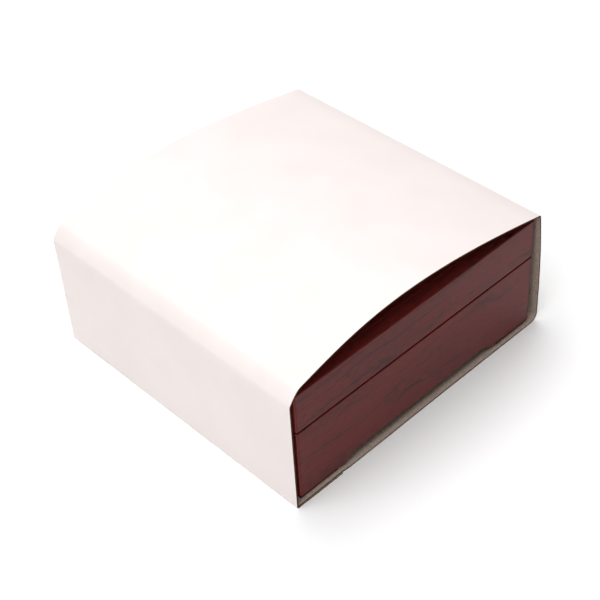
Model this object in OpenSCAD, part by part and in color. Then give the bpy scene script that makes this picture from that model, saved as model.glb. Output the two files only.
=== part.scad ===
// Coin display case: a lacquered wooden box with a hinged lid and a velvet coin seat,
// held in a white card sleeve that is open at both ends.
// Front is -Y, the sleeve slides along Y, and the sleeve's underside is Z = 0.

/* [Case] */
// Outer width of the case
case_w = 100; // [88:1:140]
// Outer depth of the case, front to back
case_d = 100; // [88:1:140]
// Height from the underside of the feet to the seam
base_h = 26; // [23:0.1:40]
// Height from the seam to the top of the lid
lid_h = 14.2; // [12.4:0.1:22]
// Thickness of the wooden rails
wall_t = 8; // [7.5:0.5:10]
// Radius of the upright corners
corner_r = 1; // [1:0.5:4]
// Rounding along the lid's top edges
top_ease = 0.4; // [0.2:0.1:0.9]
// Rounding along the lid's lower edges, at the seam
lid_ease = 0.7; // [0.1:0.1:0.9]
// Rounding along the base's upper edges, at the seam
seam_ease = 0.3; // [0.1:0.1:0.8]
// Gap between lid and base at the seam
seam_gap = 0.3; // [0.2:0.05:0.5]

/* [Feet] */
// Length of each corner foot along its side
foot_w = 15; // [12:1:22]
// Length of the curve from a foot up to the arch
foot_curve = 8; // [4:1:12]
// Height of the shallow arch between the feet
arch_h = 2.9; // [1.6:0.1:3.3]
// Rounding along the lower edges of the base
foot_ease = 0.9; // [0.2:0.1:0.9]
// Thickness of the rubber pads under the feet
foot_pad_t = 0.4; // [0.3:0.1:2]
// Distance of a pad's edge in from the foot's face
foot_pad_inset = 0.4; // [0.2:0.1:1]

/* [Boards] */
// Thickness of the floor board
floor_t = 3; // [2:0.5:4]
// Wood left between the arch and the floor board
floor_rise = 0.9; // [0.8:0.1:3]
// Depth of the groove that holds the floor board
groove_d = 3; // [2:0.5:4]
// Thickness of the lid's top board
top_t = 3; // [2:0.5:4]
// Width of the rebate that holds the top board
rebate_w = 4; // [2.5:0.5:5]
// Radius of the top board's corners
board_r = 1; // [0.5:0.5:2]
// Rounding along the top board's upper edges
board_ease = 0.3; // [0.2:0.1:0.5]
// Clearance round a board in its groove or rebate
board_gap = 0.1; // [0.05:0.05:0.2]
// Thickness of the felt under the floor board
felt_t = 0.8; // [0.5:0.1:0.8]

/* [Coin tray] */
// Diameter of the coin seat
seat_d = 46; // [30:1:54]
// Depth of the coin seat
seat_depth = 4; // [3:0.5:6]
// Radius of the finger notch at the seat's edge
notch_r = 9; // [6:0.5:11]
// Thickness of the tray's base board
tray_board_t = 2; // [1.5:0.5:3]
// Depth of the velvet's face below the seam
tray_drop = 4; // [2:0.5:7]
// Thickness of the velvet and its backing
velvet_t = 1; // [0.8:0.1:1.4]
// Thickness of the padded disc in the bottom of the seat
disc_t = 1.5; // [1:0.1:2]
// Thickness of the velvet strips round the inside walls
liner_t = 1; // [0.8:0.1:1.6]
// Depth of the strips' edges below or above the seam
liner_drop = 0.6; // [0.4:0.1:1.5]
// Clearance between the tray and the strips
tray_gap = 0.3; // [0.2:0.1:0.6]

/* [Lid lining] */
// Thickness of the card behind the satin pad
pad_card_t = 1.2; // [0.8:0.1:2]
// Thickness of the satin pad
pad_t = 3.6; // [3:0.1:5]
// Clearance between the pad and the strips
pad_gap = 0.6; // [0.4:0.1:1.5]
// Rounding of the pad's face and corners
pad_ease = 2.4; // [1.5:0.1:2.8]

/* [Hinges] */
// Distance of each hinge's middle from the side of the case
hinge_inset = 22; // [18:1:28]
// Length of each hinge
hinge_len = 14; // [12:1:20]
// Distance of the pin's axis in from the back face
pin_inset = 2.4; // [2:0.1:2.8]
// Outer radius of the knuckles
knuckle_r = 1.5; // [1.3:0.1:1.7]
// Radius of the pin
pin_r = 0.6; // [0.4:0.05:0.8]
// Clearance round the pin
pin_gap = 0.05; // [0.02:0.01:0.1]
// End gap between knuckles
knuckle_gap = 0.2; // [0.1:0.05:0.4]
// Thickness of the leaves
leaf_t = 0.8; // [0.6:0.1:1]
// Width of a leaf from the pin's axis
leaf_w = 5; // [4.6:0.1:5]
// Clearance round a leaf or knuckle in the wood
mortise_gap = 0.2; // [0.1:0.05:0.3]
// Angle at which the bevelled back edges stop the open lid
open_angle = 95; // [80:1:105]
// Distance of each screw from the hinge's middle
screw_x = 4.2; // [3.8:0.1:4.5]
// Radius of the screw heads
screw_head_r = 1.2; // [1:0.05:1.25]
// Radius of the screw shanks
screw_r = 0.65; // [0.5:0.05:0.8]
// Length of the screws
screw_len = 6; // [4:0.5:7]
// Height of the countersunk heads
screw_head_h = 0.7; // [0.5:0.1:0.8]
// Clearance round a screw in its leaf
screw_gap = 0.05; // [0.02:0.01:0.1]
// Width of the slots in the heads
slot_w = 0.35; // [0.25:0.05:0.5]
// Depth of the slots
slot_d = 0.3; // [0.2:0.05:0.4]

/* [Magnets] */
// Diameter of the disc magnets
magnet_d = 5; // [3:0.5:6]
// Thickness of the disc magnets
magnet_t = 2; // [1:0.5:3]
// Distance of each magnet's middle from the side of the case
magnet_inset = 18; // [14:1:26]
// Clearance round a magnet in its pocket
magnet_gap = 0.05; // [0.02:0.01:0.1]

/* [Sleeve] */
// Thickness of the card
card_t = 0.5; // [0.4:0.05:0.8]
// Length by which the sleeve passes each end of the case
sleeve_over = 0.9; // [0:0.1:4]
// Clearance between the foot pads and the card
lift_gap = 0.1; // [0.05:0.05:0.3]
// Gap between the case and the left panel
left_gap = 1.9; // [1:0.1:4]
// Gap between the case and the top of the right panel
right_gap = 0.7; // [0.5:0.1:3]
// Bulge of the right panel beyond its top fold
right_bulge = 2.1; // [0:0.1:4]
// Radius of the soft bend at the foot of the right panel
bend_r = 3; // [1.5:0.1:5]
// Height of the left fold relative to the lid's top
left_fold_z = -1; // [-2:0.1:2]
// Height of the right fold above the lid's top
right_fold_z = 1.3; // [0.5:0.1:3]
// Width of the steep shoulder beside the left fold
shoulder_w = 4.4; // [3:0.1:8]
// Rise of the steep shoulder
shoulder_h = 4.5; // [3:0.1:7]
// Height of the bowed top panel above the lid
bow_h = 10.05; // [5:0.05:16]
// Width of the glue flap under the bottom panel
flap_w = 17.5; // [8:0.5:30]
// Length over which the bottom panel comes down from the glue flap
lap_run = 3; // [1:0.5:6]

/* [Hidden] */
$fn = 48;

// Margin by which a cutting solid passes the face that it cuts
cut = 1;
// Rounding that breaks an edge which would else be sharp
edge_break = 0.1;
// Half sizes of the case
hw = case_w / 2;
hd = case_d / 2;
// Levels of the case, counted from the sleeve's underside
pads_z = 2 * card_t + lift_gap;
feet_z = pads_z + foot_pad_t;
seam_z = feet_z + base_h;
base_top_z = seam_z - seam_gap / 2;
lid_low_z = seam_z + seam_gap / 2;
lid_top_z = seam_z + lid_h;
// Inside of the case, between the rails
inner_w = case_w - 2 * wall_t;
inner_d = case_d - 2 * wall_t;
floor_z = feet_z + arch_h + floor_rise;
floor_top_z = floor_z + floor_t;
lid_inner_z = lid_top_z - top_t;
// Axis of the hinge pins and slope of the bevels beside it
pin_y = hd - pin_inset;
bevel_angle = open_angle / 2 + 1;
// Levels of the coin tray
velvet_z = seam_z - tray_drop;
foam_top_z = velvet_z - velvet_t;
seat_z = velvet_z - seat_depth;
disc_z = seat_z - disc_t;
tray_w = inner_w - 2 * (liner_t + tray_gap);
tray_d = inner_d - 2 * (liner_t + tray_gap);
tray_foam_z = floor_top_z + tray_board_t;
// Lid lining
pad_w = inner_w - 2 * (liner_t + pad_gap);
pad_d = inner_d - 2 * (liner_t + pad_gap);
pad_card_z = lid_inner_z - pad_card_t;
// Hinges and magnets
hinge_x = hw - hinge_inset;
magnet_x = hw - magnet_inset;
magnet_y = -hd + wall_t / 2;
knuckle_len = (hinge_len - 2 * knuckle_gap) / 3;
leaf_step = knuckle_len + knuckle_gap;
tongue_w = knuckle_len - 2 * mortise_gap;
screw_y = pin_y - (knuckle_r + mortise_gap + leaf_w) / 2;
// Sleeve
sleeve_len = case_d + 2 * sleeve_over;
left_x = -(hw + left_gap + card_t);
right_x = hw + right_gap + card_t;
left_fold = [left_x, lid_top_z + left_fold_z];
right_fold = [right_x, lid_top_z + right_fold_z];
bulge_x = right_x + right_bulge;
flap_end = left_x + card_t + flap_w;
shoulder = left_fold + [shoulder_w, shoulder_h];
// Control points of the curves, as shares of each curve's width and height
shoulder_near_share = [0.3, 0.42];
shoulder_far_share = [0.62, 0.9];
bow_near_share = [0.235, 1.02];
bow_far_share = [0.416, 1.466];
bulge_near_share = 0.4;
bulge_far_share = 0.8;
// Straight steps along each curve
shoulder_steps = 5;
bow_steps = 22;
side_steps = 8;
bend_steps = 6;

// Point on a curve through p0 and p3 that leaves them towards p1 and p2
function curve_at(p0, p1, p2, p3, t) =
    pow(1 - t, 3) * p0 + 3 * pow(1 - t, 2) * t * p1 + 3 * (1 - t) * t * t * p2 + t * t * t * p3;

// Points along such a curve, without its first point
function curve(p0, p1, p2, p3, steps) =
    [for (i = [1:steps]) curve_at(p0, p1, p2, p3, i / steps)];

// Control points of the shoulder, of the bow and of the right panel
function shoulder_point(share) = left_fold + [share[0] * shoulder_w, share[1] * shoulder_h];
function bow_point(share) = [
    shoulder[0] + share[0] * (right_fold[0] - shoulder[0]),
    lid_top_z + share[1] * bow_h
];
function bulge_point(share) = [bulge_x, right_fold[1] - share * (right_fold[1] - bend_r)];

// Outer outline of the card, in X and Z, clockwise from the lower left fold
shoulder_points = curve(
    left_fold, shoulder_point(shoulder_near_share), shoulder_point(shoulder_far_share), shoulder,
    shoulder_steps);
bow_points = curve(
    shoulder, bow_point(bow_near_share), bow_point(bow_far_share), right_fold, bow_steps);
right_points = curve(
    right_fold, bulge_point(bulge_near_share), bulge_point(bulge_far_share), [bulge_x, bend_r],
    side_steps);
bend_points = [for (i = [1:bend_steps])
    [bulge_x - bend_r + bend_r * cos(90 * i / bend_steps), bend_r - bend_r * sin(90 * i / bend_steps)]];
card_outline = concat(
    [[left_x, 0], left_fold], shoulder_points, bow_points, right_points, bend_points);
// Places of the folds in the outline
top_start = 1;
top_end = top_start + shoulder_steps + bow_steps;
right_end = top_end + side_steps + bend_steps;

function unit(v) = v / norm(v);
function turn_right(v) = [v[1], -v[0]];

// Outline point moved in by the card's thickness, square to both of its edges
function card_inner(i) = let (
    n = len(card_outline),
    before = unit(card_outline[i] - card_outline[(i + n - 1) % n]),
    after = unit(card_outline[(i + 1) % n] - card_outline[i]),
    inward = unit(turn_right(before) + turn_right(after))
) card_outline[i] + inward * card_t / (inward * turn_right(after));

// Height of the curve from a foot to the arch, at a share of its run
function arch_rise(share) = arch_h * (1 - cos(180 * share)) / 2;

// Cross-section of one edge of a slab, out from the axis of its rounded corner
function edge_profile(r, h, low, high) = concat(
    [[0, 0]],
    [for (a = [0:22.5:90]) [r - low + low * sin(a), low - low * cos(a)]],
    [for (a = [0:22.5:90]) [r - high + high * cos(a), h - high + high * sin(a)]],
    [[0, h]]);

// Slab with rounded upright corners, lower edges and upper edges
module eased_slab(w, d, h, r, low, high) {
    translate([0, 0, h / 2]) cube([w - 2 * r, d - 2 * r, h], center = true);
    for (side = [0:3]) {
        along = side % 2 == 0 ? w - 2 * r : d - 2 * r;
        out = side % 2 == 0 ? d / 2 - r : w / 2 - r;
        rotate([0, 0, 90 * side]) {
            translate([0, out, 0])
                rotate([90, 0, 90])
                    linear_extrude(along, center = true)
                        polygon(edge_profile(r, h, low, high));
            translate([along / 2, out, 0])
                rotate_extrude(angle = 90)
                    polygon(edge_profile(r, h, low, high));
        }
    }
}

// Upright prism that holds one rail of a mitred frame; side 0 is the front,
// then right, back and left
module mitre_wedge(side) {
    along = side % 2 == 0 ? hw : hd;
    out = side % 2 == 0 ? hd : hw;
    rotate([0, 0, 90 * side])
        linear_extrude(lid_top_z + cut)
            polygon([
                [-along - cut, -out - cut], [along + cut, -out - cut],
                [along - wall_t, -out + wall_t], [-along + wall_t, -out + wall_t]
            ]);
}

// Bevelled groove along the back edge of the seam, which lets the lid open
module back_bevel(up) {
    reach = pin_inset + cut;
    translate([0, pin_y, seam_z])
        mirror([0, 0, up ? 0 : 1])
            rotate([90, 0, 90])
                linear_extrude(case_w + 2 * cut, center = true)
                    polygon([[0, 0], [reach, 0], [reach, reach * tan(bevel_angle)]]);
}

// Room for both hinges in the seam faces of the back rails
module hinge_mortises(up) {
    for (x = [-hinge_x, hinge_x]) {
        translate([x, pin_y, seam_z]) {
            rotate([0, 90, 0])
                cylinder(r = knuckle_r + mortise_gap, h = hinge_len + 2 * mortise_gap, center = true);
            mirror([0, 0, up ? 0 : 1])
                translate([-hinge_len / 2 - mortise_gap, -leaf_w - mortise_gap, 0])
                    cube([hinge_len + 2 * mortise_gap, leaf_w + mortise_gap, seam_gap / 2 + leaf_t]);
            for (s = [-screw_x, screw_x])
                mirror([0, 0, up ? 0 : 1])
                    translate([s, screw_y - pin_y, 0])
                        cylinder(r = screw_r + screw_gap, h = screw_len + cut);
        }
    }
}

// Pockets for the magnets in the seam face of a front rail
module magnet_pockets(up) {
    for (x = [-magnet_x, magnet_x])
        translate([x, magnet_y, seam_z])
            mirror([0, 0, up ? 0 : 1])
                cylinder(r = magnet_d / 2 + magnet_gap, h = seam_gap / 2 + magnet_t + 2 * magnet_gap);
}

// Arch cut through a base rail, leaving a foot at each end
module foot_arch(side) {
    along = side % 2 == 0 ? hw : hd;
    out = side % 2 == 0 ? hd : hw;
    foot_end = along - foot_w;
    steps = 8;
    rise = [for (i = [0:steps]) [foot_end - foot_curve * i / steps, arch_rise(i / steps)]];
    fall = [for (i = [steps:-1:0]) [-rise[i][0], rise[i][1]]];
    rotate([0, 0, 90 * side])
        translate([0, -out - cut, feet_z])
            rotate([90, 0, 180])
                linear_extrude(wall_t + 2 * cut)
                    polygon(concat([[foot_end, -cut]], rise, fall, [[-foot_end, -cut]]));
}

// One mitred rail of the base
module base_rail(side) {
    difference() {
        intersection() {
            translate([0, 0, feet_z])
                eased_slab(case_w, case_d, base_top_z - feet_z, corner_r, foot_ease, seam_ease);
            mitre_wedge(side);
        }
        foot_arch(side);
        translate([0, 0, floor_z + floor_t / 2])
            cube([inner_w + 2 * groove_d, inner_d + 2 * groove_d, floor_t + 2 * board_gap], center = true);
        if (side != 0) back_bevel(false);
        if (side == 0) magnet_pockets(false);
        if (side == 2) hinge_mortises(false);
    }
}

// Rubber pad under a corner foot, as an angle along both rails; side -1 is left, end -1 is front
module foot_pad(side, end) {
    long = foot_w - foot_pad_inset;
    wide = wall_t - 2 * foot_pad_inset;
    color("#1a1a1b")
        mirror([side < 0 ? 1 : 0, 0, 0])
            mirror([0, end < 0 ? 1 : 0, 0])
                translate([hw - foot_pad_inset - long, hd - foot_pad_inset - long, pads_z])
                    linear_extrude(foot_pad_t)
                        difference() {
                            square(long);
                            square(long - wide);
                        }
}

// One mitred rail of the lid
module lid_rail(side) {
    difference() {
        intersection() {
            translate([0, 0, lid_low_z])
                eased_slab(case_w, case_d, lid_top_z - lid_low_z, corner_r, lid_ease, top_ease);
            mitre_wedge(side);
        }
        translate([0, 0, lid_inner_z - board_gap + cut + top_t / 2])
            cube([inner_w + 2 * rebate_w, inner_d + 2 * rebate_w, top_t + 2 * cut], center = true);
        if (side != 0) back_bevel(true);
        if (side == 0) magnet_pockets(true);
        if (side == 2) hinge_mortises(true);
    }
}

// Four strips of velvet that stand round the inside walls
module liner_strips(low, high) {
    for (s = [-1, 1]) {
        translate([0, s * (inner_d - liner_t) / 2, (low + high) / 2])
            cube([inner_w, liner_t, high - low], center = true);
        translate([s * (inner_w - liner_t) / 2, 0, (low + high) / 2])
            cube([liner_t, inner_d - 2 * (liner_t + board_gap), high - low], center = true);
    }
}

// Round coin seat with its finger notch, between two levels
module seat_hole(grow, low, high) {
    translate([0, 0, low]) {
        cylinder(r = seat_d / 2 + grow, h = high - low, $fn = 96);
        translate([0, -seat_d / 2, 0]) cylinder(r = notch_r + grow, h = high - low);
    }
}

// Places of knuckles along the pin: 1 for the middle one, 2 for the outer pair
function knuckle_places(count) = count == 1 ? [0] : [-leaf_step, leaf_step];

// Plate of a hinge leaf, let into the wood, with a tongue into the wall of each knuckle
module leaf_plate(up, count) {
    clear = knuckle_r + mortise_gap;
    tongue_end = (knuckle_r + pin_r + pin_gap) / 2;
    mirror([0, 0, up ? 0 : 1])
        translate([0, 0, seam_gap / 2])
            linear_extrude(leaf_t) {
                translate([-hinge_len / 2, -leaf_w]) square([hinge_len, leaf_w - clear]);
                for (x = knuckle_places(count))
                    translate([x - tongue_w / 2, -leaf_w / 2 - clear / 2])
                        square([tongue_w, leaf_w / 2 + clear / 2 - tongue_end]);
            }
}

// Knuckles along the pin's axis, bored for the pin
module knuckles(count) {
    for (x = knuckle_places(count))
        translate([x, 0, 0])
            rotate([0, 90, 0])
                linear_extrude(knuckle_len, center = true)
                    difference() {
                        circle(r = knuckle_r);
                        circle(r = pin_r + pin_gap);
                    }
}

// Countersunk screw, or the hole for it with its clearance
module screw_shape(grow) {
    rotate_extrude()
        polygon([
            [0, 0], [screw_head_r + grow, 0], [screw_r + grow, -screw_head_h],
            [screw_r + grow, -screw_len], [0, -screw_len]
        ]);
}

// Hinge leaf with its knuckles; the lid's leaf holds the middle knuckle
module hinge_leaf(up) {
    count = up ? 1 : 2;
    union() {
        knuckles(count);
        difference() {
            leaf_plate(up, count);
            for (s = [-screw_x, screw_x])
                translate([s, screw_y - pin_y, 0])
                    mirror([0, 0, up ? 1 : 0])
                        translate([0, 0, -seam_gap / 2])
                            screw_shape(screw_gap);
        }
    }
}

// Place of a hinge on the back edge; -1 is the left one
module at_hinge(side) {
    translate([side * hinge_x, pin_y, seam_z]) children();
}

// Screws of both hinges in the lid or in the base
module hinge_screws(up) {
    for (x = [-hinge_x, hinge_x], s = [-screw_x, screw_x])
        translate([x + s, screw_y, seam_z])
            mirror([0, 0, up ? 1 : 0])
                translate([0, 0, -seam_gap / 2])
                    difference() {
                        screw_shape(0);
                        cube([2 * screw_head_r + cut, slot_w, 2 * slot_d], center = true);
                    }
}

// Disc magnets just below the seam face
module magnets(up) {
    for (x = [-magnet_x, magnet_x])
        translate([x, magnet_y, seam_z])
            mirror([0, 0, up ? 0 : 1])
                translate([0, 0, seam_gap / 2 + magnet_gap])
                    cylinder(d = magnet_d, h = magnet_t);
}

// Card of a given outline in X and Z, along the whole sleeve
module card_length(outline) {
    color("snow")
        rotate([90, 0, 0])
            linear_extrude(sleeve_len, center = true)
                polygon(outline);
}

// Panel between two points of the card's outer outline
module card_panel(first, last) {
    outer = [for (i = [first:last]) card_outline[i]];
    inner = [for (i = [last:-1:first]) card_inner(i)];
    card_length(concat(outer, inner));
}

module base_front_rail() { color("#5c2a2c") base_rail(0); }
module base_right_rail() { color("#5c2a2c") base_rail(1); }
module base_back_rail() { color("#5c2a2c") base_rail(2); }
module base_left_rail() { color("#5c2a2c") base_rail(3); }

module front_left_foot_pad() { foot_pad(-1, -1); }
module front_right_foot_pad() { foot_pad(1, -1); }
module back_left_foot_pad() { foot_pad(-1, 1); }
module back_right_foot_pad() { foot_pad(1, 1); }

module base_floor_board() {
    w = inner_w + 2 * (groove_d - board_gap);
    d = inner_d + 2 * (groove_d - board_gap);
    color("burlywood")
        translate([0, 0, floor_z + floor_t / 2]) cube([w, d, floor_t], center = true);
}

module base_felt() {
    color("#1b1b1d")
        translate([0, 0, floor_z - felt_t / 2])
            cube([inner_w - 2 * board_gap, inner_d - 2 * board_gap, felt_t], center = true);
}

module base_liner_strips() {
    color("#17151a") liner_strips(floor_top_z, base_top_z - liner_drop);
}

module tray_board() {
    color("tan")
        translate([0, 0, floor_top_z + tray_board_t / 2])
            cube([tray_w, tray_d, tray_board_t], center = true);
}

module tray_foam() {
    color("dimgray")
        difference() {
            translate([0, 0, (tray_foam_z + foam_top_z) / 2])
                cube([tray_w, tray_d, foam_top_z - tray_foam_z], center = true);
            seat_hole(velvet_t, disc_z, foam_top_z + cut);
        }
}

module tray_velvet() {
    color("#17151a")
        difference() {
            union() {
                translate([0, 0, foam_top_z])
                    eased_slab(tray_w, tray_d, velvet_t, velvet_t, edge_break, velvet_t / 2);
                seat_hole(velvet_t, seat_z, velvet_z - velvet_t / 2);
            }
            seat_hole(0, seat_z - cut, velvet_z + cut);
        }
}

module seat_disc() {
    color("#17151a") seat_hole(velvet_t, disc_z, seat_z);
}

module lid_front_rail() { color("#5c2a2c") lid_rail(0); }
module lid_right_rail() { color("#5c2a2c") lid_rail(1); }
module lid_back_rail() { color("#5c2a2c") lid_rail(2); }
module lid_left_rail() { color("#5c2a2c") lid_rail(3); }

module lid_top_board() {
    w = inner_w + 2 * (rebate_w - board_gap);
    d = inner_d + 2 * (rebate_w - board_gap);
    color("#4a1f20")
        translate([0, 0, lid_inner_z])
            eased_slab(w, d, top_t, board_r, edge_break, board_ease);
}

module lid_liner_strips() {
    color("ivory") liner_strips(lid_low_z + liner_drop, lid_inner_z);
}

module lid_pad_card() {
    color("lightgray")
        translate([0, 0, pad_card_z + pad_card_t / 2]) cube([pad_w, pad_d, pad_card_t], center = true);
}

module lid_satin_pad() {
    color("ivory")
        translate([0, 0, pad_card_z])
            mirror([0, 0, 1])
                eased_slab(pad_w, pad_d, pad_t, pad_ease, edge_break, pad_ease);
}

module hinge_pin(side) {
    color("gold")
        at_hinge(side)
            rotate([0, 90, 0]) cylinder(r = pin_r, h = hinge_len, center = true);
}

module left_hinge_base_leaf() { color("goldenrod") at_hinge(-1) hinge_leaf(false); }
module left_hinge_lid_leaf() { color("goldenrod") at_hinge(-1) hinge_leaf(true); }
module left_hinge_pin() { hinge_pin(-1); }
module right_hinge_base_leaf() { color("goldenrod") at_hinge(1) hinge_leaf(false); }
module right_hinge_lid_leaf() { color("goldenrod") at_hinge(1) hinge_leaf(true); }
module right_hinge_pin() { hinge_pin(1); }
module base_hinge_screws() { color("gold") hinge_screws(false); }
module lid_hinge_screws() { color("gold") hinge_screws(true); }
module base_magnets() { color("silver") magnets(false); }
module lid_magnets() { color("silver") magnets(true); }

module sleeve_left_panel() { card_panel(0, top_start); }
module sleeve_top_panel() { card_panel(top_start, top_end); }
module sleeve_right_panel() { card_panel(top_end, right_end); }

// Bottom panel, lapped over the glue flap
module sleeve_bottom_panel() {
    under = [
        [bulge_x - bend_r, 0], [flap_end + lap_run, 0], [flap_end, card_t], [left_x + card_t, card_t]
    ];
    over = [for (i = [len(under) - 1:-1:0]) under[i] + [0, card_t]];
    card_length(concat(under, over));
}

module sleeve_glue_flap() {
    card_length([[left_x, 0], [left_x + card_t, card_t], [flap_end, card_t], [flap_end, 0]]);
}

base_front_rail();
base_back_rail();
base_left_rail();
base_right_rail();
front_left_foot_pad();
front_right_foot_pad();
back_left_foot_pad();
back_right_foot_pad();
base_floor_board();
base_felt();
base_liner_strips();
tray_board();
tray_foam();
tray_velvet();
seat_disc();
lid_front_rail();
lid_back_rail();
lid_left_rail();
lid_right_rail();
lid_top_board();
lid_liner_strips();
lid_pad_card();
lid_satin_pad();
left_hinge_base_leaf();
left_hinge_lid_leaf();
left_hinge_pin();
right_hinge_base_leaf();
right_hinge_lid_leaf();
right_hinge_pin();
base_hinge_screws();
lid_hinge_screws();
base_magnets();
lid_magnets();
sleeve_bottom_panel();
sleeve_left_panel();
sleeve_right_panel();
sleeve_top_panel();
sleeve_glue_flap();
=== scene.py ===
"""Coin display case in its card sleeve.

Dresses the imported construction: lacquered mahogany rails, a folded card sleeve, a velvet tray with a
coin seat, a puffed satin lid lining, brass hinges and nickel magnets. Lengths are in metres.
"""

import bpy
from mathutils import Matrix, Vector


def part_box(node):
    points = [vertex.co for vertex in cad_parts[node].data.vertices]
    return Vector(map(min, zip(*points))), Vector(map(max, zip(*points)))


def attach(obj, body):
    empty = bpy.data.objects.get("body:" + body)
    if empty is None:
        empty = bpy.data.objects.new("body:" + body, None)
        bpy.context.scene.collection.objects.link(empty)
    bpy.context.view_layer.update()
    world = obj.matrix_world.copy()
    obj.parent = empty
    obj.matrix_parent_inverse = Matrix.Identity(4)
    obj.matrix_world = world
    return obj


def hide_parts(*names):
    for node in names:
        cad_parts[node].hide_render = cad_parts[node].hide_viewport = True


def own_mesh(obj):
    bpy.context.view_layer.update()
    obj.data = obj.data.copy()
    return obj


bl_info = {
    "name": "Coin Display Case",
    "version": (1, 0, 0),
    "blender": (4, 5, 0),
    "location": "View3D > Sidebar > Coin Case",
    "description": "Dresses a hinged wooden coin case, its lining and its folded card sleeve",
    "category": "Add Mesh",
}

import math

import bpy
import numpy as np
from bpy.props import FloatProperty, FloatVectorProperty, IntProperty, PointerProperty, StringProperty
from bpy.types import Operator, Panel, PropertyGroup
from mathutils import Matrix, Vector, noise

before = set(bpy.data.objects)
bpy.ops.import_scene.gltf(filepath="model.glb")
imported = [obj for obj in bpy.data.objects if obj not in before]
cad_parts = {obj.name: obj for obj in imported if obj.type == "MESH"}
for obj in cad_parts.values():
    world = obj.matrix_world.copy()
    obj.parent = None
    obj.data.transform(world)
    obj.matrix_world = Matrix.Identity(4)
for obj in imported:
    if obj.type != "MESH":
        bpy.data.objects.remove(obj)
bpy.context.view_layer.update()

MM = 0.001


def lowest(node):
    """Lowest corner of a node of the construction."""
    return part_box(node)[0]


def highest(node):
    """Highest corner of a node of the construction."""
    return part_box(node)[1]


# Sizes and colours


class CaseWoodSettings(PropertyGroup):
    line_spacing: FloatProperty(
        name="Line spacing", description="Distance between the dark growth lines",
        default=6.5 * MM, unit="LENGTH")
    drift_long: FloatProperty(
        name="Drift length", description="Length over which the growth lines drift up and down",
        default=38 * MM, unit="LENGTH")
    drift_high: FloatProperty(
        name="Drift height", description="Height over which the drift of the lines changes",
        default=12 * MM, unit="LENGTH")
    wave_size: FloatProperty(
        name="Wave size", description="Distance over which the lines wobble",
        default=7 * MM, unit="LENGTH")
    wave_height: FloatProperty(
        name="Wave height", description="Height by which the lines wobble",
        default=0.9 * MM, unit="LENGTH")
    cloud_long: FloatProperty(
        name="Cloud length", description="Length of the darker clouds in the wood",
        default=38 * MM, unit="LENGTH")
    cloud_high: FloatProperty(
        name="Cloud height", description="Height of the darker clouds in the wood",
        default=8 * MM, unit="LENGTH")
    fibre_width: FloatProperty(
        name="Fibre width", description="Width of the fine fibres", default=0.4 * MM, unit="LENGTH")
    # Width of the band of painted highlight along the edges, the bevel radius that finds them.
    arris: FloatProperty(
        name="Arris", description="Width of the thin lacquer along the edges",
        default=0.45 * MM, unit="LENGTH")
    red: StringProperty(name="Red wood", description="Colour of the clear red wood", default="#6A1F1C")
    dark: StringProperty(name="Dark streaks", description="Colour of the dark streaks", default="#1E1113")
    # Painted highlight: the brighter red the edges are given, standing in for light caught by them.
    painted_edge_highlight: StringProperty(
        name="Edges", description="Colour of the thin lacquer on the edges", default="#8A3430")


class SleeveSettings(PropertyGroup):
    card: FloatProperty(
        name="Card", description="Thickness of the card", default=0.5 * MM, unit="LENGTH")
    shoulder_width: FloatProperty(
        name="Shoulder width", description="Width of the steep shoulder beside the left fold",
        default=4.4 * MM, unit="LENGTH")
    shoulder_rise: FloatProperty(
        name="Shoulder rise", description="Rise of the steep shoulder", default=4.5 * MM, unit="LENGTH")
    bow_height: FloatProperty(
        name="Bow height", description="Height that sets the bow of the top panel above the lid",
        default=10.05 * MM, unit="LENGTH")
    far_drop: FloatProperty(
        name="Far drop", description="How much flatter the bow is at the far end",
        default=1.4 * MM, unit="LENGTH")
    bend_radius: FloatProperty(
        name="Bend radius", description="Radius of the soft bend at the foot of the right panel",
        default=3 * MM, unit="LENGTH")
    fold_radius: FloatProperty(
        name="Fold radius", description="Outer radius of a creased fold", default=0.6 * MM, unit="LENGTH")
    lap_run: FloatProperty(
        name="Lap run", description="Length over which the bottom panel comes down from the glue flap",
        default=3 * MM, unit="LENGTH")
    lift: FloatProperty(
        name="Lift", description="Height by which the bottom panel bows off the table",
        default=0.25 * MM, unit="LENGTH")
    flap_slip: FloatProperty(
        name="Flap slip", description="How far the glue flap sticks out at the near end",
        default=0.15 * MM, unit="LENGTH")
    warp: FloatProperty(
        name="Warp", description="Height of the gentle waves in the card", default=0.12 * MM, unit="LENGTH")
    white: StringProperty(name="White face", description="Colour of the coated face", default="#F0E7E5")
    back: StringProperty(name="Back", description="Colour of the uncoated inner face", default="#BFAEA2")
    edge: StringProperty(name="Cut edge", description="Colour of the cut edges", default="#6B4A34")


class LiningSettings(PropertyGroup):
    strip: FloatProperty(
        name="Strip", description="Thickness of the covered strips", default=1 * MM, unit="LENGTH")
    velvet: FloatProperty(
        name="Velvet", description="Thickness of the velvet with its backing",
        default=1 * MM, unit="LENGTH")
    rim: FloatProperty(
        name="Rim", description="Radius of the rolled rim of the coin seat",
        default=0.9 * MM, unit="LENGTH")
    crown: FloatProperty(
        name="Crown", description="Height by which the foam swells the velvet",
        default=0.35 * MM, unit="LENGTH")
    around: IntProperty(name="Points around", description="Points round each ring of the tray", default=336)
    puff: FloatProperty(
        name="Puff", description="Furthest that a point of the satin pad may swell",
        default=2.2 * MM, unit="LENGTH")
    frames: IntProperty(name="Frames", description="Frames for which the satin pad swells", default=20)
    black: StringProperty(name="Velvet", description="Colour of the velvet and felt", default="#121115")
    ivory: StringProperty(name="Satin", description="Colour of the satin", default="#E9DFCB")


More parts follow.
